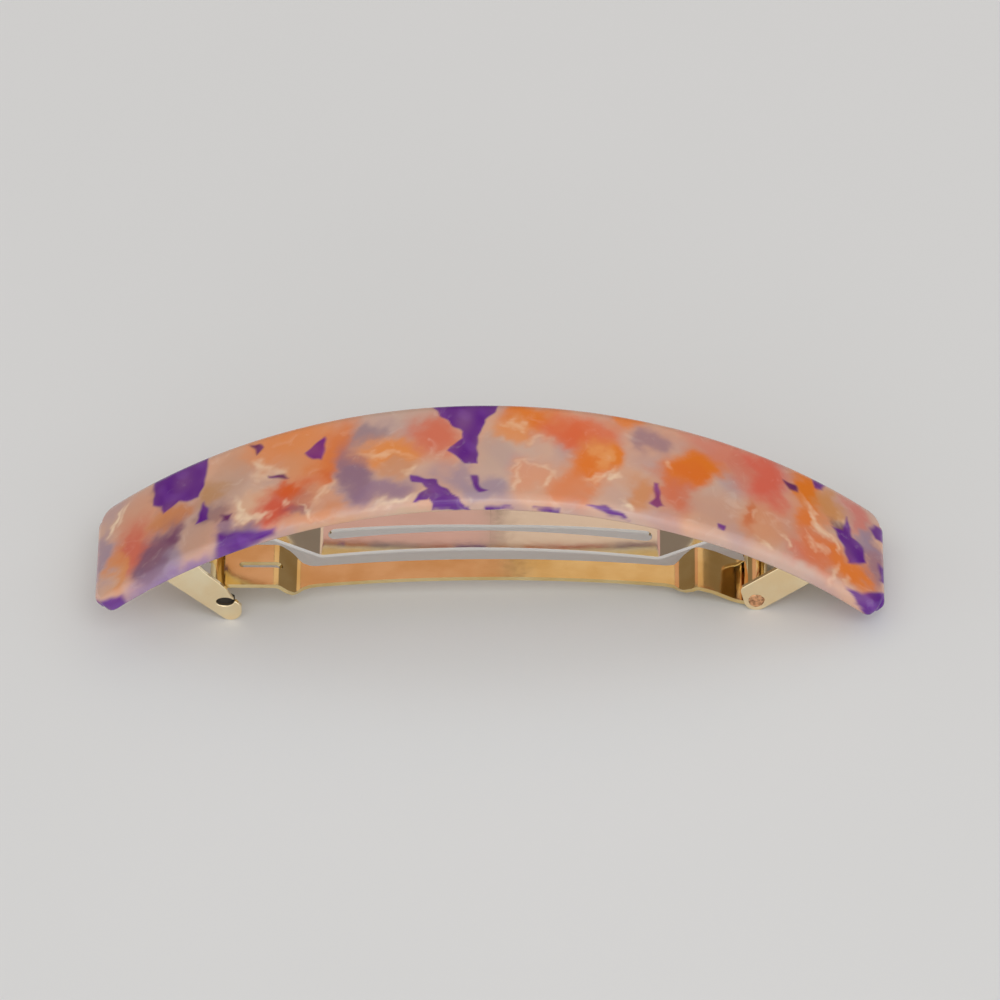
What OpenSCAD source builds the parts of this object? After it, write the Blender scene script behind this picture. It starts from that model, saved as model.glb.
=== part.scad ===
// Arched hair barrette: a marbled acetate plate glued to a French clip.
// X runs along the barrette from the latch to the hinge, Z points up and out of the plate,
// and Z = 0 is where the latch legs stand. All sizes are in millimetres.

/* [Acetate plate] */
// Length of the plate, end to end in a straight line
plate_len = 89; // [84:0.5:96]
// Width of the plate
plate_w = 16.4; // [12:0.5:24]
// Thickness of the acetate
plate_t = 2.2; // [1.8:0.1:3]
// Radius of the plate's upper face
plate_r = 67; // [64:1:70]
// Radius of the plate's four corners, seen from above
plate_corner = 1.6; // [0.8:0.1:3]
// Bevel that stands for the polished rounding along the edges
plate_bevel = 0.5; // [0.2:0.1:0.8]
// Height of the plate's crown above the latch tips
crown_z = 22.4; // [22:0.1:23]

/* [Clip] */
// Length of the base, end to end in a straight line
clip_len = 80; // [78:0.5:82]
// Width of the base over its two flanges
clip_w = 8; // [8:0.1:9]
// Thickness of the stamped sheet
sheet = 0.5; // [0.4:0.05:0.5]
// Thickness of the adhesive under the plate
glue_t = 0.4; // [0.2:0.05:0.5]
// Depth of the base's side flanges below its web
flange_h = 1.6; // [1.2:0.1:1.8]

/* [Hinge] */
// Distance of the hinge pin from the middle of the barrette
pin_x = 30.1; // [29.5:0.1:30.5]
// Height of the hinge pin's centre
pin_z = 3.44; // [3.2:0.02:3.6]
// Radius of the hinge pin
pin_r = 0.8; // [0.7:0.05:0.85]
// Radius of the pin's peened heads
head_r = 1.0; // [0.95:0.05:1.1]
// Radius of the rounded end of each hinge ear
ear_r = 1.45; // [1.4:0.05:1.6]

/* [Locking arm] */
// Width of the arm's narrow middle
arm_w = 3; // [2.6:0.1:3.6]
// Height of the arm at the top of its bow
arm_z = 4.3; // [4.2:0.05:4.4]
// Radius of the arm's bow
arm_r = 190; // [170:5:220]

/* [Tension bar] */
// Height of the tension bar at its middle
bar_z = 10.5; // [10:0.1:11.5]
// Half length of the bar between its two folds
fold_x = 19; // [18:0.5:19.5]
// Thickness of the spring sheet
bar_t = 0.4; // [0.3:0.05:0.5]

/* [Hidden] */
$fn = 64;

arc_z = crown_z - plate_r;                 // height of the arcs' common centre
web_r = plate_r - plate_t - glue_t;        // outer face of the base's web
flange_r = web_r - sheet - flange_h;       // lower edge of the flanges
inner_w = clip_w - 2 * sheet;              // clear width between the flanges
moving_w = inner_w - 0.3;                  // width of what moves between them
run_gap = 0.05;                            // radial clearance of the barrel on its pin
seat_gap = 0.02;                           // radial clearance of the pin in the ears
split_gap = 0.1;                           // parting between spring pieces and what they grow from
head_t = 0.16;
gold = "#d2b06a";
nickel = "#cfc6bf";

function unit(v) = v / norm(v);
// Direction across a line of points at point i
function across(p, i) =
    let (d = unit(p[min(i + 1, len(p) - 1)] - p[max(i - 1, 0)])) [-d[1], d[0]];

// Bends the 2D section [radius, width] round the common arc, from angle a to angle b off the crown
module arch(a, b) {
    translate([0, 0, arc_z]) rotate([90, 0, 0]) rotate([0, 0, 90 - b])
        rotate_extrude(angle = b - a, $fn = 180) children();
}

// A ring section between two radii, w wide
module band(r_in, r_out, w) {
    translate([r_in, -w / 2]) square([r_out - r_in, w]);
}

// A side outline drawn in [x, z], w thick and centred on y
module side(y, w) {
    translate([0, y + w / 2, 0]) rotate([90, 0, 0]) linear_extrude(w) children();
}

// A plan outline drawn in [x, y], as tall as the whole barrette
module plan() {
    linear_extrude(crown_z + 1) children();
}

// Sheet of thickness t that follows the line p, drawn in [x, z]
module bent_sheet(p, t) {
    polygon(concat(
        [for (i = [0 : len(p) - 1]) p[i] + across(p, i) * t / 2],
        [for (i = [len(p) - 1 : -1 : 0]) p[i] - across(p, i) * t / 2]));
}

// Rectangle with round corners that keeps true arcs
module round_rect(l, w, r) {
    square([l - 2 * r, w], center = true);
    square([l, w - 2 * r], center = true);
    for (x = [-1, 1], y = [-1, 1])
        translate([x * (l / 2 - r), y * (w / 2 - r)]) circle(r);
}

module acetate_plate() {
    half = asin(plate_len / 2 / plate_r);
    r0 = plate_r - plate_t;
    b = plate_bevel;
    h = plate_w / 2;
    color("#c98d7c") intersection() {
        arch(-half, half)
            polygon([[r0, b - h], [r0 + b, -h], [plate_r - b, -h], [plate_r, b - h],
                     [plate_r, h - b], [plate_r - b, h], [r0 + b, h], [r0, h - b]]);
        plan() round_rect(plate_len, plate_w, plate_corner);
    }
}

module adhesive_pads() {
    color("#3b302b")
        for (s = [-1, 1], span = [[6, 20], [27, 34]])
            arch(s > 0 ? span[0] : -span[1], s > 0 ? span[1] : -span[0])
                band(web_r, web_r + glue_t, inner_w);
}

// Hinge ear: leans in from the flange and ends round the pin
module ear_outline() {
    lean = 37.2;
    hull() {
        translate([pin_x, pin_z]) circle(ear_r, $fn = 32);
        translate([pin_x - 1, pin_z + 1.4]) circle(0.8, $fn = 32);
        translate([pin_x, pin_z]) rotate(lean) polygon([[7.1, -ear_r], [5.75, 2.5], [6.6, 0]]);
    }
}

module base_plate() {
    half = asin(clip_len / 2 / web_r);
    slot_in = 25.4;
    slot_out = 28.6;
    slot_w = 4.8;
    color(gold) difference() {
        union() {
            intersection() {
                arch(-half, half) difference() {
                    band(flange_r, web_r, clip_w);
                    band(flange_r - 1, web_r - sheet, inner_w);
                }
                plan() round_rect(clip_len, clip_w, 1.2);
            }
            for (s = [-1, 1])
                side(s * (clip_w - sheet) / 2, sheet) ear_outline();
        }
        for (s = [-1, 1])
            plan() translate([s * (slot_in + slot_out) / 2, 0])
                square([slot_out - slot_in, slot_w], center = true);
        translate([pin_x, 0, pin_z]) rotate([90, 0, 0])
            cylinder(r = pin_r + seat_gap, h = clip_w + 2, center = true);
    }
}

// Latch leg: leans in from the flange to a round tip with a hook over a slit eye
module leg_outline() {
    tip = [-29.35, 1.25];
    eye = [-29.95, 2.75];
    difference() {
        union() {
            translate(tip) circle(1.25);
            polygon([[-37.1, 6.4], [-32, 2.1], [-30.25, 0.38], [-29.35, 0.5], [-28.1, 1.25],
                     [-28.1, 2.1], [-29.3, 3.35], [-29.8, 4.7], [-31.7, 6.7], [-32.3, 7.3],
                     [-33.1, 8.9]]);
        }
        translate(eye) scale([1, 0.62]) circle(1);
        translate(eye + [0, 0.02]) square([2, 0.32]);
    }
}

module latch_leg(s) {
    color(gold) intersection() {
        side(s * (clip_w - sheet) / 2, sheet) leg_outline();
        translate([0, 0, arc_z]) rotate([90, 0, 0])
            cylinder(r = flange_r - split_gap, h = clip_w + 2, center = true, $fn = 180);
    }
}

module latch_leg_front() {
    latch_leg(-1);
}

module latch_leg_rear() {
    latch_leg(1);
}

module hinge_pin() {
    color("#8a6a4a") translate([pin_x, 0, pin_z]) rotate([90, 0, 0]) {
        cylinder(r = pin_r, h = clip_w, center = true);
        for (s = [-1, 1])
            translate([0, 0, s * (clip_w + head_t) / 2]) cylinder(r = head_r, h = head_t, center = true);
    }
}

// Height of the arm's bow at x
function bow(x) = arm_z - pow(x - 2, 2) / (2 * arm_r);

module locking_arm() {
    frame_z = 4.6;
    barrel_r = pin_r + run_gap + sheet;
    bow_ends = [-20.5, 20.8];
    steps = 16;
    line = concat(
        [[-31.5, 3.1], [-31.1, 3.75], [-30.5, 4.3], [-29.7, frame_z], [-24, frame_z], [-22, 3]],
        [for (i = [0 : steps]) let (x = bow_ends[0] + (bow_ends[1] - bow_ends[0]) * i / steps) [x, bow(x)]],
        [[21.4, 3.4], [23.4, frame_z + 0.1], [25.2, 4.1], [27.6, 2.85],
         [pin_x, pin_z - barrel_r + sheet / 2]]);
    w = moving_w / 2;
    n = arm_w / 2;
    color(gold) difference() {
        union() {
            intersection() {
                side(0, moving_w) bent_sheet(line, sheet);
                plan() polygon([[-32, 0.6 - w], [-31.2, -w], [-22.8, -w], [-21.4, -n - 0.4], [-19.8, -n],
                                [20, -n], [22.8, -w], [32, -w], [32, w], [22.8, w], [20, n],
                                [-19.8, n], [-21.4, n + 0.4], [-22.8, w], [-31.2, w], [-32, w - 0.6]]);
            }
            translate([pin_x, 0, pin_z]) rotate([90, 0, 0])
                cylinder(r = barrel_r, h = moving_w, center = true);
        }
        plan() translate([-26, 0]) round_rect(4.8, 0.9, 0.4);
        translate([pin_x, 0, pin_z]) rotate([90, 0, 0])
            cylinder(r = pin_r + run_gap, h = clip_w, center = true);
    }
}

module tension_bar() {
    end_x = fold_x - split_gap / 2;
    sag = 1.3;
    steps = 14;
    line = [for (i = [-steps : steps]) let (u = i / steps) [end_x * u, bar_z - sag * u * u]];
    slot_end = fold_x - 1.6;
    color(nickel) difference() {
        side(0, moving_w) bent_sheet(line, bar_t);
        plan() {
            polygon([[-slot_end, -0.85], [0, -0.45], [slot_end, -0.85],
                     [slot_end, 0.85], [0, 0.45], [-slot_end, 0.85]]);
            for (s = [-1, 1])
                translate([s * slot_end, 0]) circle(0.85);
        }
    }
}

module tension_bar_ends() {
    fold_z = bar_z - 1.3;
    start_x = fold_x + split_gap / 2;
    line = [[start_x, fold_z], [start_x + 0.5, fold_z + 0.12], [27.9, 13.45]];
    w = moving_w / 2;
    tongue = 2.2;
    color(nickel) for (s = [0, 1]) mirror([s, 0, 0]) intersection() {
        side(0, moving_w) bent_sheet(line, bar_t);
        plan() polygon([[start_x, -w], [24.9, -w], [25.4, -tongue], [29, -tongue],
                        [29, tongue], [25.4, tongue], [24.9, w], [start_x, w]]);
        translate([0, 0, arc_z]) rotate([90, 0, 0])
            cylinder(r = web_r, h = clip_w, center = true, $fn = 180);
    }
}

acetate_plate();
adhesive_pads();
base_plate();
latch_leg_front();
latch_leg_rear();
hinge_pin();
locking_arm();
tension_bar();
tension_bar_ends();
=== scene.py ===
"""Hair barrette: a marbled acetate plate on a gold French clip, in metres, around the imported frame."""

import bpy
import numpy as np
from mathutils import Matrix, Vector


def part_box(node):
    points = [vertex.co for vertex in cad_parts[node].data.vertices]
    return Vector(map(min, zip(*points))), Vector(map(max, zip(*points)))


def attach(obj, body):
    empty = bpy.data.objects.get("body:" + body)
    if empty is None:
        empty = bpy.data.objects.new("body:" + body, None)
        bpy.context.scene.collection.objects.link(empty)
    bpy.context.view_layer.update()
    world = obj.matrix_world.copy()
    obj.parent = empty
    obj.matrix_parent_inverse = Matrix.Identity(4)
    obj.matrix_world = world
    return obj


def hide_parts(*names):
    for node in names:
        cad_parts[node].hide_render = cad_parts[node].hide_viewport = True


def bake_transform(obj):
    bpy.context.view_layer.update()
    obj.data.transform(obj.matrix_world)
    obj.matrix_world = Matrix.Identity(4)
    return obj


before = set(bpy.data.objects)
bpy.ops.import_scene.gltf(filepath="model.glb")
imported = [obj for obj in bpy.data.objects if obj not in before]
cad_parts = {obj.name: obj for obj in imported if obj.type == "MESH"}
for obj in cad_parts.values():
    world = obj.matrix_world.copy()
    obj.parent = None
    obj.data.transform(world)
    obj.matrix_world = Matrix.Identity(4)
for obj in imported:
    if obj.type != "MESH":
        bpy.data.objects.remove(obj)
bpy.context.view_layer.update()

MM = 0.001


# Camera, table and light. The clip lies on a pale table, seen from in front and above through a long lens.
# It stands on its latch legs and hinge ears, and the ears are shorter, so the table tilts to meet both.
CAMERA_FAR = 1.15
CAMERA_LENS = 368
CAMERA_RISE = np.radians(42)
CAMERA_SWING = np.radians(0.5)
AIM = Vector((1.1 * MM, 0, 14.9 * MM))

away = Vector((np.sin(CAMERA_SWING) * np.cos(CAMERA_RISE), -np.cos(CAMERA_SWING) * np.cos(CAMERA_RISE),
               np.sin(CAMERA_RISE)))
camera = bpy.data.objects.new("camera", bpy.data.cameras.new("camera"))
camera.data.lens = CAMERA_LENS
camera.data.sensor_width = 36
camera.location = AIM + away * CAMERA_FAR
camera.rotation_euler = (-away).to_track_quat("-Z", "Y").to_euler()
bpy.context.scene.collection.objects.link(camera)
bpy.context.scene.camera = camera
bpy.context.scene.view_settings.view_transform = "Standard"


class Socket:
    """A node's output that takes part in sums: numbers and other outputs join it through Math nodes."""

    def __init__(self, tree, output):
        self.tree, self.output = tree, output

    def node(self, kind, settings=None, **values):
        """Adds a node of a kind, sets its settings first, and then gives its sockets values or links."""
        return add_node(self.tree, kind, settings, **values)

    def math(self, operation, first, second=0.0):
        made = self.node("ShaderNodeMath", {"operation": operation}, i0=first, i1=second)
        return Socket(self.tree, made.outputs[0])

    def __add__(self, other):
        return self.math("ADD", self, other)

    def __sub__(self, other):
        return self.math("SUBTRACT", self, other)

    def __rsub__(self, other):
        return self.math("SUBTRACT", other, self)

    def __mul__(self, other):
        return self.math("MULTIPLY", self, other)

    __radd__ = __add__
    __rmul__ = __mul__

    def step(self, low, high):
        """0 below low, 1 above high, and smooth between."""
        made = self.node("ShaderNodeMapRange", {"interpolation_type": "SMOOTHSTEP"}, i0=self, i1=low, i2=high)
        return Socket(self.tree, made.outputs[0])


def add_node(tree, kind, settings=None, **values):
    """One node of a material. Settings come first, a ramp's stops among them, and then its sockets' values.
    A socket is named as in the node, with _ for a space, or i0, i1 and so on for its place."""
    made = tree.nodes.new(kind)
    for name, value in (settings or {}).items():
        if name == "stops":
            ramp = made.color_ramp
            while len(ramp.elements) < len(value):
                ramp.elements.new(0.5)
            for element, (place, colour) in zip(ramp.elements, value):
                element.position, element.color = place, colour
        else:
            setattr(made, name, value)
    for name, value in values.items():
        numbered = name[0] == "i" and name[1:].isdigit()
        socket = made.inputs[int(name[1:])] if numbered else made.inputs[name.replace("_", " ")]
        if isinstance(value, Socket):
            tree.links.new(value.output, socket)
        else:
            socket.default_value = value
    return made


def linear(colour):
    """A colour given as red, green and blue out of 255 on the screen, as linear light with alpha 1."""
    share = np.array(colour, float) / 255
    low = share / 12.92
    high = ((share + 0.055) / 1.055) ** 2.4
    return (*np.where(share <= 0.04045, low, high), 1.0)


def finish(name, roughness, metallic=0.0, **fixed):
    """A new material: its node tree, its surface node and a texture coordinate in object space."""
    material = bpy.data.materials.new(name)
    material.use_nodes = True
    tree = material.node_tree
    surface = tree.nodes["Principled BSDF"]
    surface.inputs["Roughness"].default_value = roughness
    surface.inputs["Metallic"].default_value = metallic
    for socket, value in fixed.items():
        surface.inputs[socket.replace("_", " ")].default_value = value
    place = Socket(tree, tree.nodes.new("ShaderNodeTexCoord").outputs["Object"])
    return material, tree, surface, place


def noise(place, scale, detail=3.0, **more):
    """Soft noise of a scale, in cells per metre."""
    made = place.node("ShaderNodeTexNoise", None, Vector=place, Scale=scale, Detail=detail, **more)
    return Socket(place.tree, made.outputs["Fac"])


def put_on(surface, **links):
    """Links sockets to the surface node's inputs by name."""
    for name, value in links.items():
        value.tree.links.new(value.output, surface.inputs[name.replace("_", " ")])


def shade(place, colour_low, colour_high, share):
    """The colour between two, by a share."""
    made = place.node("ShaderNodeMix", {"data_type": "RGBA"}, i0=share, i6=colour_low, i7=colour_high)
    return Socket(place.tree, made.outputs[2])


def bump(place, height, strength, distance):
    """A surface direction tilted by a height's slope."""
    made = place.node("ShaderNodeBump", None, Strength=strength, Distance=distance, Height=height)
    return Socket(place.tree, made.outputs[0])


LEG_TIP_X = -29.4 * MM
EAR_TIP = (30.1 * MM, 2.0 * MM)
TABLE_HALF = 1.6

slope = EAR_TIP[1] / (EAR_TIP[0] - LEG_TIP_X)
corners = [(x * TABLE_HALF, y * TABLE_HALF, (x * TABLE_HALF - LEG_TIP_X) * slope - 0.02 * MM)
           for x, y in ((-1, -1), (1, -1), (1, 1), (-1, 1))]
table_mesh = bpy.data.meshes.new("table")
table_mesh.from_pydata(corners, [], [(0, 1, 2, 3)])
table = bpy.data.objects.new("table", table_mesh)
bpy.context.scene.collection.objects.link(table)
table_material, tree, surface, place = finish("pale_table", 0.7)
put_on(surface, Base_Color=shade(place, linear((221, 224, 224)), linear((227, 229, 230)), noise(place, 9)))
table.data.materials.append(table_material)

world = bpy.data.worlds.new("studio")
world.use_nodes = True
sky = world.node_tree
heading = add_node(sky, "ShaderNodeSeparateXYZ")
sky.links.new(add_node(sky, "ShaderNodeTexCoord").outputs["Generated"], heading.inputs[0])
backward, upward = Socket(sky, heading.outputs[1]), Socket(sky, heading.outputs[2])
ceiling = upward.step(0.66, 0.9)
dim_wall = backward.step(0.2, 0.7) * (1 - ceiling)
room = shade(ceiling, (1.12, 1.15, 1.2, 1), (0.62, 0.56, 0.5, 1), ceiling)
wall = shade(dim_wall, room, (0.26, 0.2, 0.145, 1), dim_wall)
sky.links.new(wall.output, sky.nodes["Background"].inputs["Color"])
sky.nodes["Background"].inputs["Strength"].default_value = 0.9
bpy.context.scene.world = world


def softbox(name, place, aim, size, watts, colour=(1, 0.985, 0.96)):
    """A flat area light, of a width and a height, that faces a point."""
    light = bpy.data.objects.new(name, bpy.data.lights.new(name, "AREA"))
    light.data.shape = "RECTANGLE"
    light.data.size, light.data.size_y = size
    light.data.energy = watts
    light.data.color = colour
    light.location = place
    light.rotation_euler = (Vector(aim) - Vector(place)).to_track_quat("-Z", "Y").to_euler()
    bpy.context.scene.collection.objects.link(light)


softbox("key_softbox", (0.15, -0.62, 0.9), (0, 0, 0), (0.7, 0.5), 2.2)
softbox("front_strip", (0.1, -0.95, 0.3), (0, 0, 0.01), (1.2, 0.06), 0.45)
softbox("rose_card", (-0.215, 0.743, 0.669), (0, 0, 0.01), (0.42, 0.3), 0.155, (1, 0.48, 0.42))
softbox("cream_card", (0.22, 0.743, 0.669), (0, 0, 0.01), (0.42, 0.3), 0.19, (1, 0.72, 0.52))


def add_mesh(name, points, faces, material, body, smooth=True):
    """Makes a piece at the origin from points and faces, gives it a finish and lets it ride on a body."""
    mesh = bpy.data.meshes.new(name)
    mesh.from_pydata(points, [], faces)
    mesh.polygons.foreach_set("use_smooth", np.full(len(mesh.polygons), smooth))
    mesh.materials.append(material)
    mesh.update()
    piece = bpy.data.objects.new(name, mesh)
    bpy.context.scene.collection.objects.link(piece)
    if body:
        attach(piece, body)
    return piece


# Acetate plate. A strip cut from marbled cellulose acetate sheet, warmed and bent over a form to an arc,
# then tumbled until its edges are round and glossy. The chips of colour lie all through its thickness.
PLATE_RADIUS = 67 * MM
PLATE_THICK = 2.2 * MM
PLATE_CORNER = 2.3 * MM
EDGE_ROUND = 0.85 * MM
EDGE_EASE = 1.5
FLAT_SHARE = 0.955
PLATE_SINK = 0.01 * MM
ALONG, ACROSS_TOP, ACROSS_BOTTOM, ROUND_STEPS = 600, 90, 24, 9

plate_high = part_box("acetate_plate")[1]
arc_height = plate_high.z - PLATE_RADIUS
end_lean = np.arcsin((plate_high.x - PLATE_SINK - EDGE_ROUND) / (PLATE_RADIUS - EDGE_ROUND))


def bend_round(along, across, out):
    """Bends flat places to the arc: along is length on the plate's face, and out is height above that face.
    The angle is along over the radius, and the point lies at radius plus out from the arc's centre."""
    angle = along / PLATE_RADIUS
    reach = PLATE_RADIUS + out
    return np.stack([reach * np.sin(angle), across, arc_height + reach * np.cos(angle)], -1)


def rounded_section(half_width, half_thick, corner):
    """Closed outline of the plate's cut: quarter ellipses joined by flats, from the top's far side round.
    Each input holds one value for each place along the plate, and each row of the result is one outline."""
    quarter = np.linspace(0, np.pi / 2, ROUND_STEPS)
    flat_w, flat_t = half_width - EDGE_EASE * corner, half_thick - corner
    sides, heights = [], []
    for turn, (side_y, side_h) in enumerate(((1, 1), (1, -1), (-1, -1), (-1, 1))):
        angle = np.pi / 2 * (1 - turn) - quarter
        sides.append(side_y * flat_w[:, None] + EDGE_EASE * corner[:, None] * np.cos(angle))
        heights.append(side_h * flat_t[:, None] + corner[:, None] * np.sin(angle))
        if turn in (1, 3):
            count = ACROSS_BOTTOM if turn == 1 else ACROSS_TOP
            share = np.linspace(0, 1, count + 2)[1:-1]
            start = -flat_w[:, None] * (1 if turn == 3 else -1)
            sides.append(start * (1 - 2 * share))
            heights.append(side_h * half_thick[:, None] + 0 * share)
    return np.concatenate(sides, 1), np.concatenate(heights, 1)


wave = np.linspace(-1, 1, ALONG)
ease = np.clip((np.abs(wave) - FLAT_SHARE) / (1 - FLAT_SHARE), 0, 1)
flat_end = PLATE_RADIUS * end_lean
station = np.sign(wave) * np.where(ease > 0, flat_end + EDGE_ROUND * np.sin(ease * np.pi / 2),
                                   np.abs(wave) / FLAT_SHARE * flat_end)
past_flat = np.clip(np.abs(station) - flat_end, 0, EDGE_ROUND)
section_round = np.sqrt(np.maximum(EDGE_ROUND**2 - past_flat**2, 0))
inner_corner = PLATE_CORNER - EDGE_ROUND
into_corner = np.clip(np.abs(station) - (flat_end - inner_corner), 0, inner_corner)
narrowing = inner_corner - np.sqrt(inner_corner**2 - into_corner**2)
half_width = plate_high.y - PLATE_SINK - EDGE_ROUND - narrowing + section_round
half_thick = PLATE_THICK / 2 - EDGE_ROUND + section_round
side, height = rounded_section(half_width, half_thick, section_round)
ring_count = side.shape[1]
plate_points = bend_round(station[:, None], side, height - PLATE_THICK / 2).reshape(-1, 3)


def ring_faces(rows, columns):
    """Four-sided faces between rows of a closed outline, turned outwards."""
    row, column = np.meshgrid(np.arange(rows - 1), np.arange(columns), indexing="ij")
    beside = (column + 1) % columns
    return np.stack([row * columns + column, row * columns + beside,
                     (row + 1) * columns + beside, (row + 1) * columns + column], -1).reshape(-1, 4)


plate_faces = [tuple(face) for face in ring_faces(ALONG, ring_count)]
plate_faces.append(tuple(range(ring_count))[::-1])
plate_faces.append(tuple(range((ALONG - 1) * ring_count, ALONG * ring_count)))

# The marbling, in millimetres from the middle of the plate: x towards the hinge and y away from the front.
MILK, PEACH, AMBER = (205, 172, 156), (226, 166, 128), (222, 146, 84)
MAUVE, HAZE, PLUM, VIOLET = (142, 112, 142), (158, 138, 156), (104, 42, 92), (96, 30, 134)
# The cream is partly the pearl flakes' own colour and partly painted glints and sheen.
PEARL_AND_GLINT_CREAM, LILAC = (246, 222, 190), (150, 96, 190)

# Clouds: x, y, half length, half width, turn in degrees, colour, strength.
CLOUDS = [
    (-39.4, 4.6, 2.6, 3.8, 0, (212, 152, 122), 0.7), (-36.0, 1.0, 2.8, 2.0, 0, (204, 128, 76), 0.85),
    (-40.2, -1.6, 2.2, 4.6, 8, (210, 106, 84), 0.95), (-42.0, -3.0, 0.9, 4.0, 0, AMBER, 0.7),
    (-44.0, 0.5, 0.9, 4.4, 0, HAZE, 0.8), (-37.2, -3.8, 2.0, 3.4, -20, (122, 76, 104), 0.9),
    (-35.4, -2.4, 1.2, 1.6, 0, PLUM, 0.6), (-36.6, -7.0, 3.0, 2.2, 0, HAZE, 0.9),
    (-38.2, -6.4, 1.6, 1.6, 0, PLUM, 0.45), (-33.0, -4.0, 1.5, 3.2, 0, (190, 150, 132), 0.7),
    (-31.4, 2.0, 1.6, 2.0, 0, (188, 136, 84), 0.8), (-31.0, -1.6, 1.4, 1.6, -30, (120, 80, 96), 0.6),
    (-28.6, 3.6, 2.2, 4.0, 0, (196, 158, 136), 0.7), (-29.6, -4.6, 1.6, 1.8, 0, MAUVE, 0.8),
    (-28.0, -6.6, 2.8, 1.6, 0, MAUVE, 0.9), (-22.4, 6.2, 5.4, 3.6, 0, (228, 142, 84), 0.95),
    (-21.4, 1.8, 3.4, 2.6, 0, (222, 146, 96), 0.8), (-17.6, 2.8, 2.0, 5.2, -22, (222, 122, 58), 0.9),
    (-18.8, -1.2, 1.0, 1.8, -15, (216, 104, 48), 0.9), (-26.2, -2.4, 2.2, 2.8, -20, (224, 180, 148), 0.85),
    (-22.4, -1.8, 2.8, 1.5, -8, (218, 96, 44), 1.0), (-24.0, -4.6, 2.2, 2.4, 20, (214, 96, 72), 1.0),
    (-20.8, -4.0, 1.6, 1.8, 30, (196, 120, 96), 0.8), (-21.8, -5.4, 1.4, 0.9, -30, PLUM, 0.4),
    (-18.4, -4.6, 1.6, 3.4, 16, (222, 156, 116), 0.7), (-20.0, -7.2, 4.4, 1.2, 4, (216, 146, 104), 0.8),
    (-15.2, -1.4, 1.9, 4.8, 10, (136, 104, 128), 0.9), (-13.6, 4.6, 2.0, 1.8, 0, (150, 128, 138), 0.85),
    (-12.0, -5.0, 3.6, 1.8, 0, MAUVE, 0.75), (-8.6, 6.4, 3.6, 2.4, 0, (198, 170, 156), 0.7),
    (-11.0, 1.2, 4.0, 2.4, -8, (228, 144, 78), 1.0), (-10.6, -1.6, 2.0, 1.6, 0, (208, 146, 106), 0.8),
    (-6.0, 3.2, 2.8, 3.4, 20, (214, 112, 84), 0.95), (-3.6, -4.2, 2.0, 2.4, 0, HAZE, 0.7),
    (-0.8, -6.2, 2.6, 1.8, 0, HAZE, 0.8), (0.4, 0.4, 1.8, 3.4, 0, (196, 166, 150), 0.6),
    (4.6, 5.8, 3.4, 2.8, 0, (226, 122, 36), 1.0), (2.4, 3.8, 2.0, 2.0, 0, (226, 148, 92), 0.9),
    (10.2, 4.2, 4.4, 2.8, 0, (224, 110, 68), 0.95), (9.0, 3.4, 2.2, 2.0, 0, (222, 98, 52), 0.7),
    (11.2, -1.2, 2.2, 3.8, -16, (228, 120, 38), 1.0), (13.6, 0.8, 1.4, 2.4, 12, (228, 126, 40), 1.0),
    (12.4, 0.4, 0.7, 2.0, -10, (234, 158, 92), 0.8), (8.6, -5.4, 2.6, 2.8, 0, (224, 132, 82), 0.85),
    (4.4, -3.6, 2.2, 2.9, 0, (222, 156, 122), 0.9), (15.2, 7.2, 2.2, 1.8, 0, (228, 130, 60), 0.95),
    (18.2, 4.6, 1.7, 2.2, 0, (158, 122, 132), 0.85), (17.0, -5.0, 1.8, 3.0, 0, (212, 138, 84), 0.85),
    (20.8, -2.4, 2.2, 4.2, 0, (214, 110, 74), 0.9), (23.2, 2.0, 4.6, 2.2, 40, (226, 120, 36), 1.0),
    (22.6, 0.8, 1.6, 1.8, 0, (224, 112, 40), 0.7), (27.0, 6.2, 5.6, 2.2, -4, (214, 126, 106), 0.8),
    (31.0, 3.2, 2.6, 4.8, 0, (216, 102, 82), 1.0), (28.2, 3.6, 1.4, 2.8, 0, (210, 120, 98), 0.7),
    (30.2, -4.2, 3.4, 3.2, 0, (214, 146, 106), 0.75), (29.2, -3.4, 0.9, 2.6, 0, (206, 112, 66), 0.8),
    (33.6, -1.8, 1.6, 3.0, 0, (206, 146, 122), 0.5), (35.8, 4.8, 1.7, 3.4, 6, (222, 120, 32), 1.0),
    (38.4, 4.0, 1.5, 3.2, 0, (204, 136, 72), 0.85), (35.8, -0.2, 1.8, 2.4, -20, (226, 122, 50), 0.95),
    (37.0, -4.6, 2.4, 3.0, 0, (222, 116, 66), 0.9), (38.6, -3.6, 1.4, 2.4, 20, (226, 122, 54), 0.9),
    (41.0, -5.0, 2.4, 2.8, 0, (228, 124, 48), 1.0), (34.6, -6.0, 1.8, 2.0, 0, (216, 118, 92), 0.7),
    (41.6, 5.0, 1.5, 3.4, 0, (206, 122, 112), 0.9), (43.2, -0.6, 0.9, 4.6, 0, (156, 112, 126), 0.9),
    (42.8, 1.6, 1.0, 1.6, 0, HAZE, 0.8), (24.8, -4.4, 2.6, 3.0, 0, (202, 156, 134), 0.7),
    (-37.4, 6.2, 1.0, 2.4, 0, PLUM, 0.6), (39.4, 1.0, 1.3, 1.0, -30, (96, 32, 62), 0.9),
    (-35.6, -9.6, 5.4, 1.7, 0, (150, 118, 168), 0.85), (-27.4, -10.0, 3.6, 1.4, 0, (176, 132, 160), 0.7),
    (-19.0, -9.6, 5.0, 1.2, 0, (214, 160, 120), 0.6), (-8.0, -9.8, 5.0, 1.2, 0, (206, 178, 150), 0.6),
]
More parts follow.
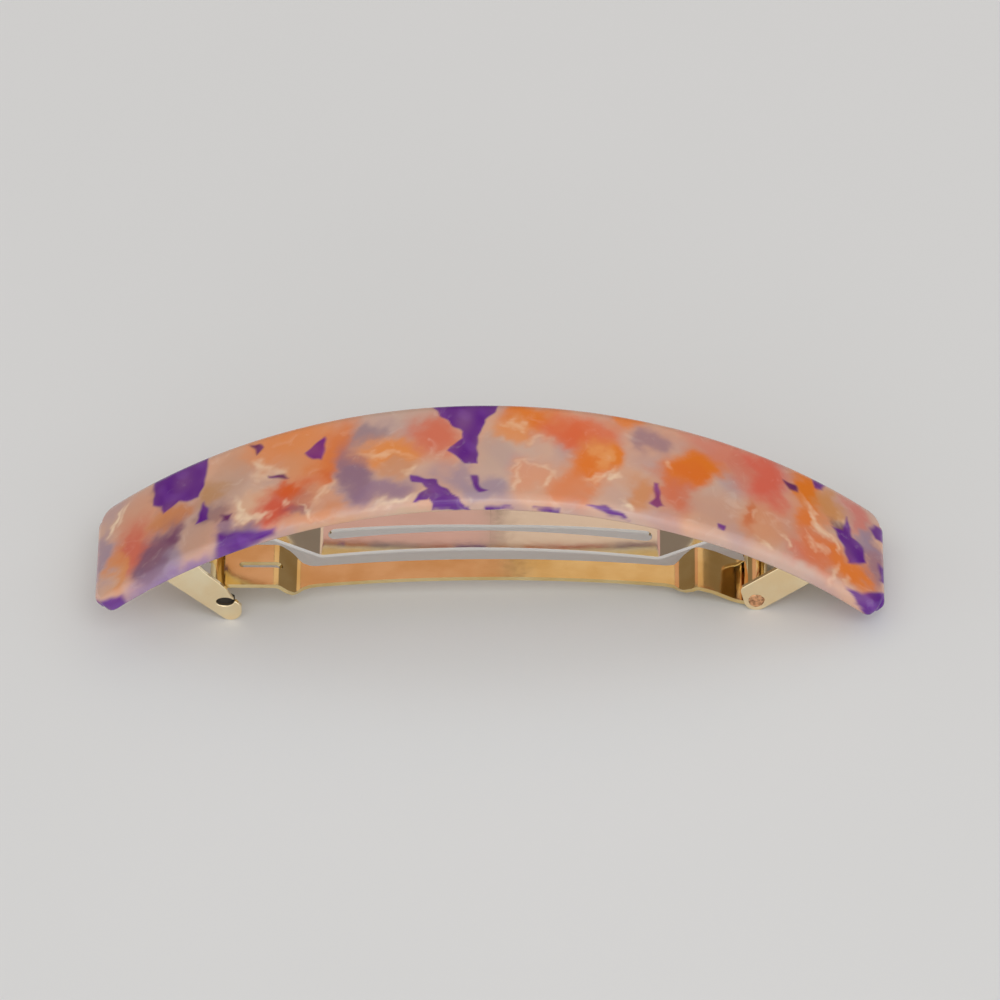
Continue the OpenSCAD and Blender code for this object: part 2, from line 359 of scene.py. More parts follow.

# Pearly petals, partly the flakes' own pale colour and partly painted glints and sheen: x, y, half length,
# half width, turn, strength.
PEARLS_WITH_PAINTED_GLINTS = [
    (-42.2, 5.6, 1.5, 0.4, 68, 0.95), (-41.2, 6.0, 1.4, 0.3, 74, 0.7), (-43.0, 4.6, 0.9, 0.3, 60, 0.6),
    (-25.4, -5.0, 1.2, 0.4, 10, 0.7), (-27.9, -2.6, 1.8, 0.5, 112, 0.85), (-26.8, -4.5, 1.4, 0.45, -12, 0.8),
    (-25.6, 3.8, 1.2, 0.6, -60, 0.7), (-24.6, 1.6, 1.6, 0.7, -30, 0.5), (-22.9, -3.6, 0.7, 0.35, 70, 0.7),
    (-20.4, -5.8, 1.6, 0.3, -60, 0.6), (-18.6, -3.2, 2.4, 0.5, 60, 0.45), (-12.0, 1.0, 2.4, 0.4, -14, 0.5),
    (-9.0, -2.0, 1.0, 0.5, 30, 0.6), (-10.2, -7.1, 2.6, 0.5, 12, 0.8), (4.0, -1.6, 1.6, 0.25, 40, 0.4),
    (3.2, -4.0, 1.8, 0.3, 62, 0.5), (6.1, -4.4, 1.6, 0.4, 80, 0.65), (6.0, -2.2, 1.4, 0.3, -35, 0.45),
    (12.6, -2.6, 1.8, 0.4, 42, 0.6), (14.2, -2.5, 0.9, 0.4, 45, 0.8), (15.3, -6.8, 0.6, 0.5, 0, 0.9),
    (2.8, 4.6, 1.4, 0.4, -30, 0.4), (5.2, 2.4, 1.2, 0.4, -5, 0.4), (20.4, 0.9, 0.8, 0.4, -60, 0.5),
    (37.0, 0.4, 2.6, 0.4, -62, 0.75), (38.4, -1.6, 1.2, 0.35, -70, 0.6), (36.9, -3.8, 1.4, 0.3, -75, 0.5),
    (39.2, 2.0, 1.6, 0.6, 80, 0.4), (33.0, -5.6, 0.9, 0.35, -60, 0.7), (30.7, -7.0, 0.7, 0.35, -60, 0.6),
    (38.6, -6.6, 1.8, 0.35, 75, 0.5), (40.4, -7.0, 1.2, 0.3, 75, 0.4), (29.8, -3.0, 0.9, 0.3, 85, 0.35),
]

# Chips cut from violet sheet: a colour, how deep they lie (edge blur) and their corners.
CHIPS = [
    (VIOLET, 0.22, [(-38.2, 9.4), (-31.8, 9.4), (-32.1, 5.0), (-32.8, 2.4), (-33.8, 2.3), (-35.2, 3.0),
                    (-36.9, 2.2), (-37.2, 3.6), (-38.2, 4.6)]),
    (VIOLET, 0.2, [(-32.3, 1.0), (-31.8, -0.2), (-31.7, -2.3), (-33.1, -2.2), (-32.7, -0.4)]),
    (PLUM, 0.18, [(-27.1, 7.9), (-26.2, 7.6), (-25.6, 6.6), (-26.3, 5.8)]),
    ((122, 38, 124), 0.22, [(-20.9, 3.7), (-18.7, 5.8), (-18.6, 4.0), (-19.0, 1.9), (-20.0, 2.5)]),
    (PLUM, 0.2, [(-25.0, 1.7), (-23.2, 1.0), (-22.5, 0.2), (-23.6, 0.5), (-24.9, 1.3)]),
    (VIOLET, 0.45, [(-30.5, -5.4), (-28.6, -6.0), (-26.6, -6.9), (-24.0, -7.6), (-24.0, -8.4),
                    (-27.6, -9.4), (-30.8, -9.6), (-30.4, -6.8)]),
    (PLUM, 0.3, [(-30.2, -2.4), (-29.0, -2.6), (-29.3, -3.7), (-30.1, -3.5)]),
    (VIOLET, 0.35, [(-45.0, -5.2), (-44.0, -6.2), (-43.0, -7.0), (-41.4, -7.6), (-40.8, -9.0),
                    (-42.0, -11.6), (-45.0, -11.6)]),
    (VIOLET, 0.14, [(-7.1, 9.0), (0.9, 9.0), (0.6, 6.8), (-0.6, 5.6), (-1.0, 4.0), (-1.4, 2.0),
                    (-1.5, 0.0), (-1.5, -1.9), (-2.8, -1.8), (-3.4, -1.0), (-4.7, 0.5), (-4.5, 1.2),
                    (-3.2, 2.4), (-3.2, 3.6), (-4.4, 4.9), (-5.4, 6.2)]),
    (VIOLET, 0.16, [(-9.0, -3.1), (-7.5, -3.6), (-6.0, -4.4), (-4.7, -6.1), (-3.4, -7.6), (-2.3, -9.6),
                    (-6.4, -9.3), (-6.2, -8.3), (-6.9, -7.3), (-8.4, -7.6), (-8.0, -6.7), (-7.0, -5.6),
                    (-7.6, -4.6), (-8.8, -4.2)]),
    (VIOLET, 0.2, [(-2.2, -3.8), (-1.4, -3.8), (-1.1, -5.4), (-0.3, -6.5), (-1.2, -6.7), (-1.9, -5.5)]),
    (VIOLET, 0.2, [(-0.6, -8.9), (2.4, -8.7), (2.6, -9.4), (-0.4, -9.7)]),
    (VIOLET, 0.28, [(4.8, -8.9), (7.8, -9.0), (7.6, -9.8), (5.4, -9.5)]),
    (VIOLET, 0.22, [(10.8, -7.9), (12.9, -7.7), (15.0, -8.4), (15.6, -9.4), (13.2, -8.9)]),
    ((138, 56, 112), 0.2, [(18.4, -2.3), (18.9, -2.4), (19.0, -4.8), (19.6, -5.9), (18.8, -6.5),
                           (17.8, -6.0), (18.3, -4.8)]),
    ((112, 46, 122), 0.14, [(25.5, -6.6), (26.4, -6.4), (26.2, -7.2), (25.6, -7.3)]),
    (PLUM, 0.22, [(33.1, 4.8), (34.4, 4.8), (34.6, 3.9), (33.6, 3.8)]),
    (VIOLET, 0.2, [(35.8, 8.8), (38.3, 8.8), (37.5, 6.2), (36.8, 5.9)]),
    (VIOLET, 0.24, [(38.5, 0.9), (39.7, 1.2), (40.3, 3.9), (40.7, 2.2), (41.0, 0.8), (42.1, 0.2),
                    (42.5, -2.0), (41.6, -3.0), (40.3, -3.7), (40.0, -2.0), (39.5, -0.8)]),
    (VIOLET, 0.3, [(43.0, 4.0), (43.6, 5.2), (45.0, 5.4), (45.0, 3.0), (43.6, 3.1)]),
    (VIOLET, 0.3, [(43.8, -1.0), (45.0, -1.0), (45.0, -3.8), (44.0, -3.6)]),
    (VIOLET, 0.3, [(43.2, -6.4), (45.0, -5.0), (45.0, -11.6), (43.4, -11.6), (41.6, -9.8), (40.0, -8.2),
                    (41.6, -7.8)]),
]


def ripple(x, y, pitch, seed):
    """Smooth random height between about -1 and 1: a few sine waves in random directions, summed."""
    dice = np.random.default_rng(seed)
    total = np.zeros_like(x)
    for _ in range(6):
        heading, phase = dice.uniform(0, 2 * np.pi, 2)
        count = 2 * np.pi / pitch * dice.uniform(0.7, 1.4)
        total += np.sin(count * (x * np.cos(heading) + y * np.sin(heading)) + phase)
    return total / 2.6


def fade(distance, blur):
    """1 well inside a shape and 0 outside, smooth across the blur on either side of its edge."""
    share = np.clip(0.5 - distance / (2 * blur), 0, 1)
    return share * share * (3 - 2 * share)


def petal(x, y, centre_x, centre_y, half_length, half_width, turn):
    """Distance-like measure from a turned ellipse: below 0 inside and in ellipse radii."""
    angle = np.radians(turn)
    away_x, away_y = x - centre_x, y - centre_y
    along = away_x * np.cos(angle) + away_y * np.sin(angle)
    aside = away_y * np.cos(angle) - away_x * np.sin(angle)
    return np.hypot(along / half_length, aside / half_width) - 1


def chip_distance(x, y, corners):
    """Distance to a chip's outline, below 0 inside: nearest edge, and the side by counting crossings."""
    nearest = np.full_like(x, 1e9)
    inside = np.zeros(x.shape, bool)
    for (ax, ay), (bx, by) in zip(corners, corners[1:] + corners[:1]):
        edge_squared = (bx - ax) ** 2 + (by - ay) ** 2
        share = np.clip(((x - ax) * (bx - ax) + (y - ay) * (by - ay)) / edge_squared, 0, 1)
        nearest = np.minimum(nearest, np.hypot(x - ax - share * (bx - ax), y - ay - share * (by - ay)))
        if ay != by:
            crosses = ((ay > y) != (by > y)) & (x < (bx - ax) * (y - ay) / (by - ay) + ax)
            inside ^= crosses
    return np.where(inside, -nearest, nearest)


CHIP_LEAN = 1.11
SHEET_TURN = 0.0163
SHEET_SHIFT = 0.35


def marble(x, y):
    """Colour of the acetate at places in millimetres: a milky ground, soft clouds, pearls with painted
    glints, and violet chips.
    The sheet's pattern lies a little turned and shifted on the plate. The chips lean through the sheet, so
    the caller moves y forward with the depth below the face."""
    y = y - SHEET_TURN * x + SHEET_SHIFT
    colour = np.empty((*x.shape, 3)) + linear(MILK)[:3]

    def lay(paint, share):
        colour[:] += (np.array(linear(paint)[:3]) - colour) * share[..., None]

    warp_x = x + 0.5 * ripple(x, y, 5, 1) + 0.2 * ripple(x, y, 1.8, 2) + 0.07 * ripple(x, y, 0.7, 12)
    warp_y = y + 0.5 * ripple(x, y, 5, 3) + 0.2 * ripple(x, y, 1.8, 4) + 0.07 * ripple(x, y, 0.7, 13)
    lay(PEACH, np.clip(0.25 + 0.3 * ripple(x, y, 11, 5), 0, 0.6))
    lay(HAZE, np.clip(0.3 * ripple(x, y, 8, 6), 0, 0.35))
    for cx, cy, long, wide, turn, paint, strength in CLOUDS:
        edge = petal(warp_x, warp_y, cx, cy, long, wide, turn)
        lay(paint, strength * (0.75 * fade(edge, 0.7) + 0.25 * fade(edge + 0.12, 0.3)))
    # Pearls: cream laid into the colour, partly the flakes' own tone and partly painted glints and sheen.
    for cx, cy, long, wide, turn, strength in PEARLS_WITH_PAINTED_GLINTS:
        edge = petal(warp_x, warp_y, cx, cy, long, wide, turn)
        angle = np.radians(turn)
        aside, along = y * np.cos(angle) - x * np.sin(angle), x * np.cos(angle) + y * np.sin(angle)
        fibres = 0.8 + 0.2 * np.sin(6 * aside + 2.2 * np.sin(0.9 * along + cx) + 1.5 * ripple(x, y, 2.5, 14))
        lay(PEARL_AND_GLINT_CREAM, np.clip(0.8 * strength * fade(edge, 0.7) * fibres, 0, 1))
    fine_x = x + 0.12 * ripple(x, y, 2.2, 8)
    fine_y = y + 0.12 * ripple(x, y, 2.2, 9)
    for paint, blur, corners in CHIPS:
        cover = fade(chip_distance(fine_x, fine_y, corners), blur)
        lay(paint, cover * (0.95 + 0.05 * ripple(x, y, 4, 10)))
        lay(LILAC, 0.16 * cover * np.clip(ripple(x, y, 3, 11), 0, 1))
    return colour


acetate, tree, surface, place = finish(
    "marbled_acetate", 0.16, Subsurface_Weight=0.12, Subsurface_Radius=(1.0, 0.55, 0.4),
    Subsurface_Scale=0.0012, IOR=1.49, Specular_IOR_Level=0.42)
paint = Socket(tree, add_node(tree, "ShaderNodeAttribute", {"attribute_name": "marble"}).outputs["Color"])
swirl = noise(place, 420, 4, Distortion=1.2)
veined = shade(place, paint, linear((250, 238, 222)), swirl.step(0.56, 0.86) * 0.16)
put_on(surface, Base_Color=veined, Roughness=0.14 + 0.1 * noise(place, 900, 2),
       Normal=bump(place, noise(place, 150, 2), 0.12, 0.0002))

plate = add_mesh("acetate_plate_polished", plate_points, plate_faces, acetate, "base")
layer = plate.data.color_attributes.new("marble", "FLOAT_COLOR", "POINT")
tint = np.ones((len(plate_points), 4))
lean_in = CHIP_LEAN * (height - PLATE_THICK / 2)
tint[:, :3] = marble(plate_points[:, 0] / MM, (side + lean_in).ravel() / MM)
layer.data.foreach_set("color", tint.ravel())
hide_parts("acetate_plate")


# Clip base. One stamping of gold-plated steel: a channel bent to the plate's arc, whose rounded shoulders
# turn down into two flanges, with a slot near each end for the tension bar's tongues.
SHEET = 0.5 * MM
GLUE = 0.4 * MM
WEB_MIDDLE = PLATE_THICK + GLUE + SHEET / 2
FLANGE_DROP = 1.6 * MM
SHOULDER = 0.5 * MM
SOFT_EDGE = 0.07 * MM
TONGUE_SLOT = (25.4 * MM, 28.6 * MM, 2.4 * MM)

base_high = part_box("base_plate")[1]

gold, tree, surface, place = finish("gold_plate", 0.12, 1.0)
handled = noise(place, 220, 4)
put_on(surface, Base_Color=shade(place, (0.96, 0.74, 0.43, 1), (1.0, 0.86, 0.58, 1), handled.step(0.3, 0.7)),
       Roughness=0.07 + 0.1 * noise(place, 1300, 3),
       Normal=bump(place, noise(place, 420, 2), 0.1, 0.00012))

# A darker copy of the same gold plate, for the locking arm: its darker colour paints in the arm's dark
# reflection of the plate's underside.
gold_painted_dark_reflection, tree, surface, place = finish("gold_plate_painted_dark_reflection", 0.12, 1.0)
handled = noise(place, 220, 4)
put_on(surface, Base_Color=shade(place, (0.8, 0.58, 0.25, 1), (0.9, 0.72, 0.38, 1), handled.step(0.3, 0.7)),
       Roughness=0.06 + 0.1 * noise(place, 1300, 3),
       Normal=bump(place, noise(place, 420, 2), 0.1, 0.00012))


def press(piece, thick, seam=False):
    """Gives a flat sheet its thickness and rounds its cut edges. A seam at x = 0 keeps its edges whole, so
    that two halves meet there without a groove. The rounded strips shade apart from the flat faces."""
    import bmesh
    wall = piece.modifiers.new("thickness", "SOLIDIFY")
    wall.thickness, wall.offset, wall.use_even_offset = thick, 0.0, True
    bpy.context.view_layer.update()
    solid = bpy.data.meshes.new_from_object(piece.evaluated_get(bpy.context.evaluated_depsgraph_get()))
    piece.modifiers.clear()
    piece.data = solid
    work = bmesh.new()
    work.from_mesh(solid)
    bmesh.ops.remove_doubles(work, verts=work.verts, dist=1e-6)
    cut_edges = [edge for edge in work.edges if edge.is_manifold and edge.calc_face_angle() > 0.9
                 and not (seam and all(abs(corner.co.x) < 1e-7 for corner in edge.verts))]
    rounded = bmesh.ops.bevel(work, geom=cut_edges, offset=SOFT_EDGE, segments=2, profile=0.5,
                              affect="EDGES", clamp_overlap=True)
    strips = set(rounded["faces"])
    for edge in work.edges:
        in_strip = [face in strips for face in edge.link_faces]
        edge.smooth = not (len(in_strip) != 2 or in_strip[0] != in_strip[1] or edge.calc_face_angle() > 0.9)
    for face in work.faces:
        face.smooth = True
    work.to_mesh(solid)
    work.free()
    return piece


def weld(piece):
    """Merges points that lie in the same place and drops the faces that this closes up."""
    import bmesh
    work = bmesh.new()
    work.from_mesh(piece.data)
    bmesh.ops.remove_doubles(work, verts=work.verts, dist=2e-6)
    bmesh.ops.dissolve_degenerate(work, edges=work.edges, dist=1e-7)
    work.to_mesh(piece.data)
    work.free()
    return piece


def grid_faces(rows, columns, keep):
    """Four-sided faces of an open grid, less those that keep leaves out."""
    row, column = np.meshgrid(np.arange(rows - 1), np.arange(columns - 1), indexing="ij")
    corner = row * columns + column
    faces = np.stack([corner, corner + 1, corner + columns + 1, corner + columns], -1)
    return [tuple(face) for face in faces[keep]]


def channel(q):
    """Half of the base's cut by its length q from the middle: flat web, quarter-round shoulder, flange.
    Returns the distance from the middle plane and the drop below the web."""
    angle = np.clip((q - flat_web) / SHOULDER, 0, np.pi / 2)
    past = np.maximum(q - flat_web - SHOULDER * np.pi / 2, 0)
    return np.minimum(q, flat_web) + SHOULDER * np.sin(angle), SHOULDER * (1 - np.cos(angle)) + past


web_radius = PLATE_RADIUS - WEB_MIDDLE
flat_web = base_high.y - SHEET / 2 - SHOULDER
turned_q = flat_web + SHOULDER * np.pi / 2
flange_q = turned_q + FLANGE_DROP + SHEET / 2 - SHOULDER
base_lean = np.arcsin(base_high.x / (web_radius + SHEET / 2)) - 0.0002
slot_lean = np.arcsin(np.array(TONGUE_SLOT[:2]) / web_radius)
lean_line = np.unique(np.concatenate([np.linspace(-base_lean, base_lean, 241), slot_lean, -slot_lean]))
q_line = np.unique(np.concatenate([
    np.linspace(0, TONGUE_SLOT[2], 5), np.linspace(TONGUE_SLOT[2], flat_web, 3),
    flat_web + np.linspace(0, SHOULDER * np.pi / 2, 8), np.linspace(turned_q, flange_q, 4)]))
q_both = np.concatenate([-q_line[:0:-1], q_line])
across, drop = channel(np.abs(q_both))
reach = web_radius - drop
base_points = np.stack([reach * np.sin(lean_line)[:, None],
                        across * np.sign(q_both) + 0 * lean_line[:, None],
                        arc_height + reach * np.cos(lean_line)[:, None]], -1)
middle_lean = np.abs(lean_line[:-1] + lean_line[1:]) / 2
middle_q = np.abs(q_both[:-1] + q_both[1:]) / 2
tongue_hole = ((middle_lean > slot_lean[0]) & (middle_lean < slot_lean[1]))[:, None] \
    & (middle_q < TONGUE_SLOT[2])
base = add_mesh("base_channel", base_points.reshape(-1, 3),
                grid_faces(len(lean_line), len(q_both), ~tongue_hole), gold, "base")
press(base, SHEET)
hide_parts("base_plate")


# Hinge ears. The flanges' last stretch at the hinge end leans down into two flat ears with round ends,
# pierced for the pin.
PIN = np.array([30.1, 3.44]) * MM
PIN_RADIUS = 0.8 * MM
EAR_ROUND = 1.45 * MM
EAR_LEAN = 37.2
EAR_SHOULDER = PIN + np.array([-1.0, 1.4]) * MM
SHOULDER_ROUND = 0.8 * MM
EAR_PROUD = 0.014 * MM


def arc_points(centre, radius, start, end, steps):
    """Points on an arc between two angles in degrees: centre plus radius times cosine and sine."""
    angle = np.radians(np.linspace(start, end, steps))
    return centre + radius * np.stack([np.cos(angle), np.sin(angle)], -1)


def even_outline(corners, count):
    """Points evenly spaced round a closed line through corners."""
    closed = np.vstack([corners, corners[:1]])
    run = np.concatenate([[0], np.cumsum(np.linalg.norm(np.diff(closed, axis=0), axis=1))])
    where = np.linspace(0, run[-1], count, endpoint=False)
    return np.stack([np.interp(where, run, closed[:, axis]) for axis in (0, 1)], -1)


turn_ear = np.array([[np.cos(np.radians(EAR_LEAN)), -np.sin(np.radians(EAR_LEAN))],
                     [np.sin(np.radians(EAR_LEAN)), np.cos(np.radians(EAR_LEAN))]])
ear_root = PIN + np.array([[6.7, -1.45], [6.2, 0.0], [5.55, 2.5]]) * MM @ turn_ear.T
ear_corners = np.vstack([arc_points(PIN, EAR_ROUND, EAR_LEAN - 190, EAR_LEAN - 90, 22), ear_root,
                         arc_points(EAR_SHOULDER, SHOULDER_ROUND, EAR_LEAN + 90, EAR_LEAN + 165, 10)])
ear_outline = even_outline(ear_corners, 132)
from_pin = ear_outline - PIN
bore_outline = PIN + (PIN_RADIUS + 0.03 * MM) * from_pin / np.linalg.norm(from_pin, axis=1, keepdims=True)
for side_name, sign in (("front", -1), ("rear", 1)):
    flat = np.concatenate([ear_outline, bore_outline])
    points = np.stack([flat[:, 0], np.full(len(flat), sign * (base_high.y - SHEET / 2)), flat[:, 1]], -1)
    start = np.arange(len(ear_outline))
    after = np.roll(start, -1)
    faces = np.stack([start, after, after + len(start), start + len(start)], -1)
    ear = add_mesh(f"hinge_ear_{side_name}", points, [tuple(face) for face in faces], gold, "base")
    press(ear, SHEET + EAR_PROUD)
    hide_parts("base_plate")


# Latch legs. The flanges lean down at the other end into two springy legs. Each ends round, with an oval
# eye pierced through it and a slit from the eye to the edge, which makes the hook.
LEG_TIP = np.array([-29.35, 1.25]) * MM
LEG_ROUND = 1.25 * MM
EYE = np.array([-29.95, 2.75]) * MM
EYE_HALF = (1.0 * MM, 0.62 * MM)
SLIT = (0.02 * MM, 0.34 * MM)
FLANGE_RADIUS = 62.3 * MM
ROOT_LAP = 0.4 * MM

root_lean = np.linspace(np.arcsin(-36.9 * MM / FLANGE_RADIUS), np.arcsin(-33.0 * MM / FLANGE_RADIUS), 12)
leg_root = np.stack([(FLANGE_RADIUS + ROOT_LAP) * np.sin(root_lean),
                     arc_height + (FLANGE_RADIUS + ROOT_LAP) * np.cos(root_lean)], -1)
slit_up = np.degrees(np.arcsin(SLIT[1] / EYE_HALF[1]))
slit_down = np.degrees(np.arcsin(SLIT[0] / EYE_HALF[1]))
round_eye = arc_points(np.zeros(2), 1.0, slit_down, slit_up - 360, 40) * EYE_HALF + EYE
slit_low = EYE + np.array([[1.25 * MM, SLIT[0]]])
slit_high = EYE + np.array([[1.02 * MM, SLIT[1]]])
right_side = np.array([[-29.0, 3.25], [-29.35, 3.75], [-29.8, 4.7], [-30.6, 5.6], [-31.7, 6.7],
                       [-32.3, 7.3]]) * MM
leg_line = np.vstack([arc_points(LEG_TIP, LEG_ROUND, -137, 0, 26), [[-28.1 * MM, 2.1 * MM]], slit_low,
                      round_eye, slit_high, right_side, leg_root[::-1], [[-36.5 * MM, 5.9 * MM]]])
for side_name, sign in (("front", -1), ("rear", 1)):
    points = np.stack([leg_line[:, 0], np.full(len(leg_line), sign * (base_high.y - SHEET / 2)),
                       leg_line[:, 1]], -1)
    leg = add_mesh(f"latch_leg_{side_name}_polished", points, [tuple(range(len(points)))], gold,
                   f"leg_{side_name}")
    press(leg, SHEET + EAR_PROUD)
    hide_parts(f"latch_leg_{side_name}")


# Painted shade behind the eyes. A thin near-black plate behind each leg's eye paints in the shade seen
# through the eye; it is no real part of the clip.
EYE_SHADE_THICK = 0.1 * MM
EYE_SHADE_LIFT = 0.01 * MM
EYE_SHADE_MARGIN = 0.28 * MM

# Near-black colour: painted shade seen through the eye, not a finish of the steel.
eye_shade_black, tree, surface, place = finish("painted_eye_shade", 0.5, 0.3)
put_on(surface, Base_Color=shade(place, (0.006, 0.005, 0.006, 1), (0.03, 0.024, 0.02, 1),
                                 noise(place, 1500, 3)))
eye_shade_half = (EYE_HALF[0] + EYE_SHADE_MARGIN, EYE_HALF[1] + EYE_SHADE_MARGIN)
eye_shade_outline = arc_points(np.zeros(2), 1.0, 0, 354, 60) * eye_shade_half + EYE
eye_shade_outline[:, 0] = np.minimum(eye_shade_outline[:, 0], -28.85 * MM)
for side_name, sign in (("front", -1), ("rear", 1)):
    inner = base_high.y - SHEET - EAR_PROUD / 2 - EYE_SHADE_LIFT - EYE_SHADE_THICK / 2
    points = np.stack([eye_shade_outline[:, 0], np.full(len(eye_shade_outline), sign * inner), eye_shade_outline[:, 1]], -1)
    eye_shade_piece = add_mesh(f"eye_shade_plate_{side_name}", points, [tuple(range(len(points)))], eye_shade_black,
                     f"leg_{side_name}", smooth=False)
    wall = eye_shade_piece.modifiers.new("thickness", "SOLIDIFY")
    wall.thickness, wall.offset = EYE_SHADE_THICK, 0.0


# Adhesive. Clear-brown cured glue, spread in pads between the plate and the base, where it sets as a thin
# uneven film.
glue, tree, surface, place = finish("cured_adhesive", 0.12, Coat_Roughness=0.03)
put_on(surface, Base_Color=shade(place, (0.018, 0.006, 0.008, 1), (0.07, 0.028, 0.02, 1),
                                 noise(place, 900, 2)),
       Normal=bump(place, noise(place, 1600, 2), 0.6, 0.0002))
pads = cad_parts["adhesive_pads"]
pads.data.materials.clear()
pads.data.materials.append(glue)


# Hinge pin. A soft brass-coloured rivet through both ears and the arm's barrel, its ends peened over flat
# and a little ragged by the press.
PEEN = 0.9 * MM
PEEN_PROUD = 0.13 * MM

pin_metal, tree, surface, place = finish("peened_pin", 0.34, 1.0)
hammered = noise(place, 2600, 3)
put_on(surface,
       Base_Color=shade(place, (0.3, 0.13, 0.06, 1), (0.86, 0.48, 0.26, 1), hammered.step(0.3, 0.62)),
       Roughness=0.25 + 0.25 * hammered, Normal=bump(place, hammered, 0.7, 0.0001))
half_pin = base_high.y
profile_r = np.array([0, 0.35, 0.62, 0.8, 0.88, 0.9, 0.84, 0.8, 0.8]) / 0.9 * PEEN
profile_y = half_pin + np.array([0.95, 1.0, 0.92, 0.7, 0.42, 0.2, 0.1, 0.0, -0.6]) * PEEN_PROUD
pin_r = np.concatenate([profile_r, profile_r[::-1]])
pin_y = np.concatenate([profile_y, -profile_y[::-1]])
pin_r[[0, -1]] = 1e-6
turn_round = np.linspace(0, 2 * np.pi, 40, endpoint=False)
ragged = 1 + 0.035 * np.sin(3 * turn_round + 0.7) + 0.025 * np.sin(7 * turn_round)
wobble = np.where(pin_r[:, None] > 0.81 * MM, ragged, 1)
pin_points = np.stack([PIN[0] + pin_r[:, None] * wobble * np.cos(turn_round),
                       pin_y[:, None] + 0 * turn_round,
                       PIN[1] + pin_r[:, None] * wobble * np.sin(turn_round)], -1).reshape(-1, 3)
pin_faces = [tuple(face[::-1]) for face in ring_faces(len(pin_r), 40)]
pin = weld(add_mesh("hinge_pin_peened", pin_points, pin_faces, pin_metal, "base"))
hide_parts("hinge_pin")


# Locking arm. A strip of gold-plated sheet that narrows in the middle and bows up, with a slotted frame and
# a curled lip at the latch end, and at the other end a wide plate that is curled into a barrel on the pin.
ARM_WIDE, ARM_NARROW = 3.35, 1.5
ARM_BEND = 0.28 * MM
BARREL_MIDDLE = 1.1 * MM
WINDOW = (-26 * MM, 2.4 * MM, 0.45 * MM)
PATH_STEP = 0.1 * MM


def follow(corners, bend):
    """A path through corners with soft bends: even points on the straight lines between corners, each then
    averaged with its neighbours by a bell curve as wide as bend."""
    run = np.concatenate([[0], np.cumsum(np.linalg.norm(np.diff(corners, axis=0), axis=1))])
    where = np.arange(0, run[-1] + PATH_STEP, PATH_STEP)
    line = np.stack([np.interp(where, run, corners[:, axis]) for axis in (0, 1)], -1)
    count = int(3 * bend / PATH_STEP)
    bell = np.exp(-0.5 * (np.arange(-count, count + 1) * PATH_STEP / bend) ** 2)
    first = 2 * line[0] - line[1:count + 1][::-1]
    last = 2 * line[-1] - line[-count - 1:-1][::-1]
    longer = np.vstack([first, line, last])
    return np.stack([np.convolve(longer[:, axis], bell / bell.sum(), "valid") for axis in (0, 1)], -1)


def slotted_sheet(name, path, half_width, slot, material, body, columns=7):
    """A bent strip: a path in x and z carried across its width, y from the slot's half width to the strip's
    half width on both sides. The slot runs between two x with round ends; its strip of faces is left out."""
    middle, half_length, half_slot = slot
    from_tip = half_length - np.abs(path[:, 0] - middle)
    round_part = np.clip(from_tip, 0, half_slot[1]) / half_slot[1]
    opening = np.interp(np.abs(path[:, 0] - middle), [0, half_length], half_slot) \
        * np.sqrt(np.maximum(1 - (1 - round_part) ** 2, 0))
    solid = np.clip(-from_tip, 0, half_slot[1] / 2)
    spread = np.where(from_tip > 0, opening, solid)
    share = np.linspace(0, 1, columns)
    y_right = spread[:, None] + (half_width - spread)[:, None] * share
    y_all = np.concatenate([-y_right[:, ::-1], y_right], 1)
    points = np.stack([path[:, :1] + 0 * y_all, y_all, path[:, 1:] + 0 * y_all], -1).reshape(-1, 3)
    keep = np.ones((len(path) - 1, 2 * columns - 1), bool)
    keep[:, columns - 1] = (from_tip[:-1] + from_tip[1:]) / 2 < 0
    piece = add_mesh(name, points, grid_faces(len(path), 2 * columns, keep), material, None)
    return weld(piece)


def with_rows(path, x_stops):
    """The path with extra points where it crosses the given x. x must rise along the part that holds them."""
    rising = np.arange(len(path))[np.concatenate([[True], np.diff(path[:, 0]) > 0])]
    rows = np.interp(x_stops, path[rising, 0], rising)
    rows = np.unique(np.concatenate([np.arange(len(path)), rows]))
    rows = rows[np.concatenate([[True], np.diff(rows) > 0.02])]
    return np.stack([np.interp(rows, np.arange(len(path)), path[:, axis]) for axis in (0, 1)], -1)


bow_x = np.linspace(-20.3, 20.6, 40)
bow = np.stack([bow_x, 4.3 - (bow_x - 2) ** 2 / 380], -1)
arm_corners = np.vstack([[[-31.5, 3.1], [-31.1, 3.75], [-30.5, 4.3], [-29.7, 4.6], [-24, 4.6], [-22, 3]], bow,
                         [[21.4, 3.4], [23.4, 4.7], [25.2, 4.1], [27.6, 2.85], [29.2, 2.42]]]) * MM
arm_corners = np.vstack([arm_corners, arc_points(PIN, BARREL_MIDDLE, -84, 188, 40)])
arm_path = follow(arm_corners, ARM_BEND)
tips = WINDOW[0] + np.array([-1, 1]) * WINDOW[1]
arm_path = with_rows(arm_path[::2], np.concatenate([tips, tips + 0.04 * MM, tips - 0.04 * MM]))
run_x = np.maximum.accumulate(arm_path[:, 0])
width_x = np.array([-31.9, -31.2, -22.9, -22.2, -21.2, -20.4, -19.6, 19.9, 20.8, 22.0, 22.9, 32]) * MM
width_y = np.array([2.9, ARM_WIDE, ARM_WIDE, 3.05, 2.0, 1.6, ARM_NARROW, ARM_NARROW, 1.7, 2.9, ARM_WIDE,
                    ARM_WIDE]) * MM
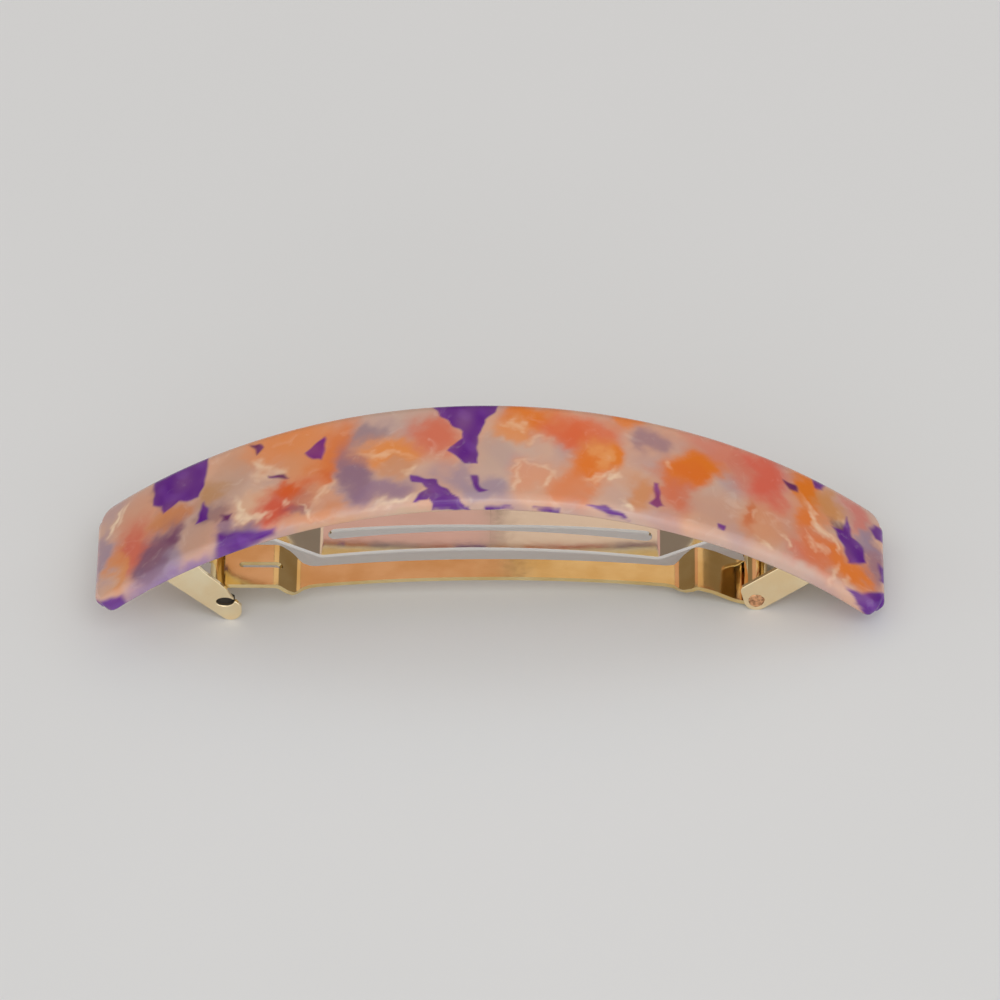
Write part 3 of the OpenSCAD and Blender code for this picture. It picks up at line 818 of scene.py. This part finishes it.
arm_width = np.interp(run_x, width_x, width_y)
# The arm takes the darker gold, whose colour paints in its reflection of the plate's underside.
arm = slotted_sheet("locking_arm_polished", arm_path, arm_width, (WINDOW[0], WINDOW[1], (WINDOW[2],) * 2),
                    gold_painted_dark_reflection, "arm", 8)
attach(arm, "arm")
press(arm, SHEET)
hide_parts("locking_arm")


# Tension bar. A leaf of nickel-plated spring steel, slotted along its middle, bowed between two folds. Its
# ends rise as tabs, and a tongue on each tab sits in the base's slot. It is made as two halves, each from its
# fixed tab to the middle.
BAR_THICK = 0.4 * MM
FOLD_X = 19.0
BAR_TOP, BAR_SAG = 10.5, 1.3
BAR_WIDE, TONGUE_WIDE = 3.35, 2.2
TAB_TOP, TONGUE_START = 24.9, 25.4

steel, tree, surface, place = finish("nickel_spring_steel", 0.1, 1.0)
drawn = noise(place, 300, 4)
put_on(surface, Base_Color=shade(place, (0.8, 0.765, 0.73, 1), (0.9, 0.87, 0.84, 1), drawn),
       Roughness=0.06 + 0.1 * noise(place, 1500, 3),
       Normal=bump(place, noise(place, 360, 2), 0.12, 0.00012))
half_x = np.linspace(0, FOLD_X, 30)
bar_corners = np.vstack([np.stack([half_x, BAR_TOP - BAR_SAG * (half_x / FOLD_X) ** 2], -1),
                         [[27.85, 13.42]]]) * MM
for side_name, sign in (("latch", -1), ("hinge", 1)):
    path = follow(bar_corners, 0.2 * MM)[::2]
    path = with_rows(path, np.array([18.21, 18.25, 18.29, TAB_TOP, TONGUE_START]) * MM)
    path[0] = (0, BAR_TOP * MM)
    width = np.interp(path[:, 0] / MM, [0, TAB_TOP, TONGUE_START, 30],
                      [BAR_WIDE, BAR_WIDE, TONGUE_WIDE, TONGUE_WIDE]) * MM
    if sign < 0:
        path, width = (path * (-1, 1))[::-1], width[::-1]
    bar = slotted_sheet(f"tension_bar_{side_name}_half", path, width,
                        (0.0, 18.25 * MM, (0.45 * MM, 0.85 * MM)), steel, None, 6)
    press(bar, BAR_THICK, seam=True)
    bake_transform(bar)
    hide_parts("tension_bar", "tension_bar_ends")
